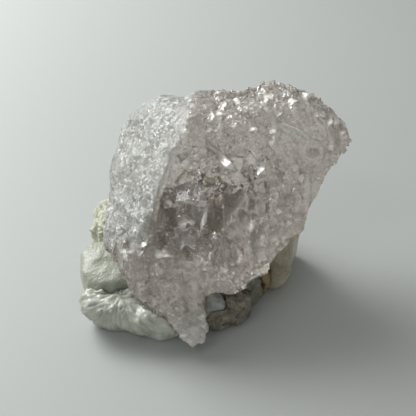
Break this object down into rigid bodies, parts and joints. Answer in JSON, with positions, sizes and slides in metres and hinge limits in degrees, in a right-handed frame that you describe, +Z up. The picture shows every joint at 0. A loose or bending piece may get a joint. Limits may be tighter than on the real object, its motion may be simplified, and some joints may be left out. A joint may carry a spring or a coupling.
{
  "type": "kunzite crystal specimen",
  "caption": "Pale pink etched gem crystal leaning back on a small feldspar and quartz matrix; a loose mineral specimen with a trimmed flat base.",
  "frame": {"origin": "middle of the bounding box at the underside, on the surface that the specimen stands on", "axes": "+X across the specimen to the right, its longest extent; +Y away from the viewer, the way the crystal leans; +Z up"},
  "size_m": [0.0688, 0.0496, 0.0497],
  "materials": {
    "kunzite": "etched, glassy, pale pink, frosted on the left face",
    "white_albite": "smooth, silky, greenish white",
    "bladed_albite": "fanned silky blades, greenish white",
    "yellow_albite": "matt, granular, pale yellow-white",
    "clear_quartz": "glassy, pale bluish grey",
    "smoky_low": "dark brown-grey, broken, waxy",
    "smoky_high": "dark grey-green, broken, waxy",
    "iron_stain": "orange-brown iron stain on feldspar",
    "olive_feldspar": "waxy, slightly translucent, tan and olive",
    "core_feldspar": "rough, cream and grey"
  },
  "bodies": {
    "root": {"kunzite_crystal": "kunzite", "albite_knob": "white_albite", "albite_fan": "bladed_albite", "albite_crust": "yellow_albite", "quartz_chip": "clear_quartz", "smoky_grain_low": "smoky_low", "smoky_grain_high": "smoky_high", "stained_wedge": "iron_stain", "feldspar_block": "olive_feldspar", "feldspar_core": "core_feldspar"}
  },
  "joints": []
}
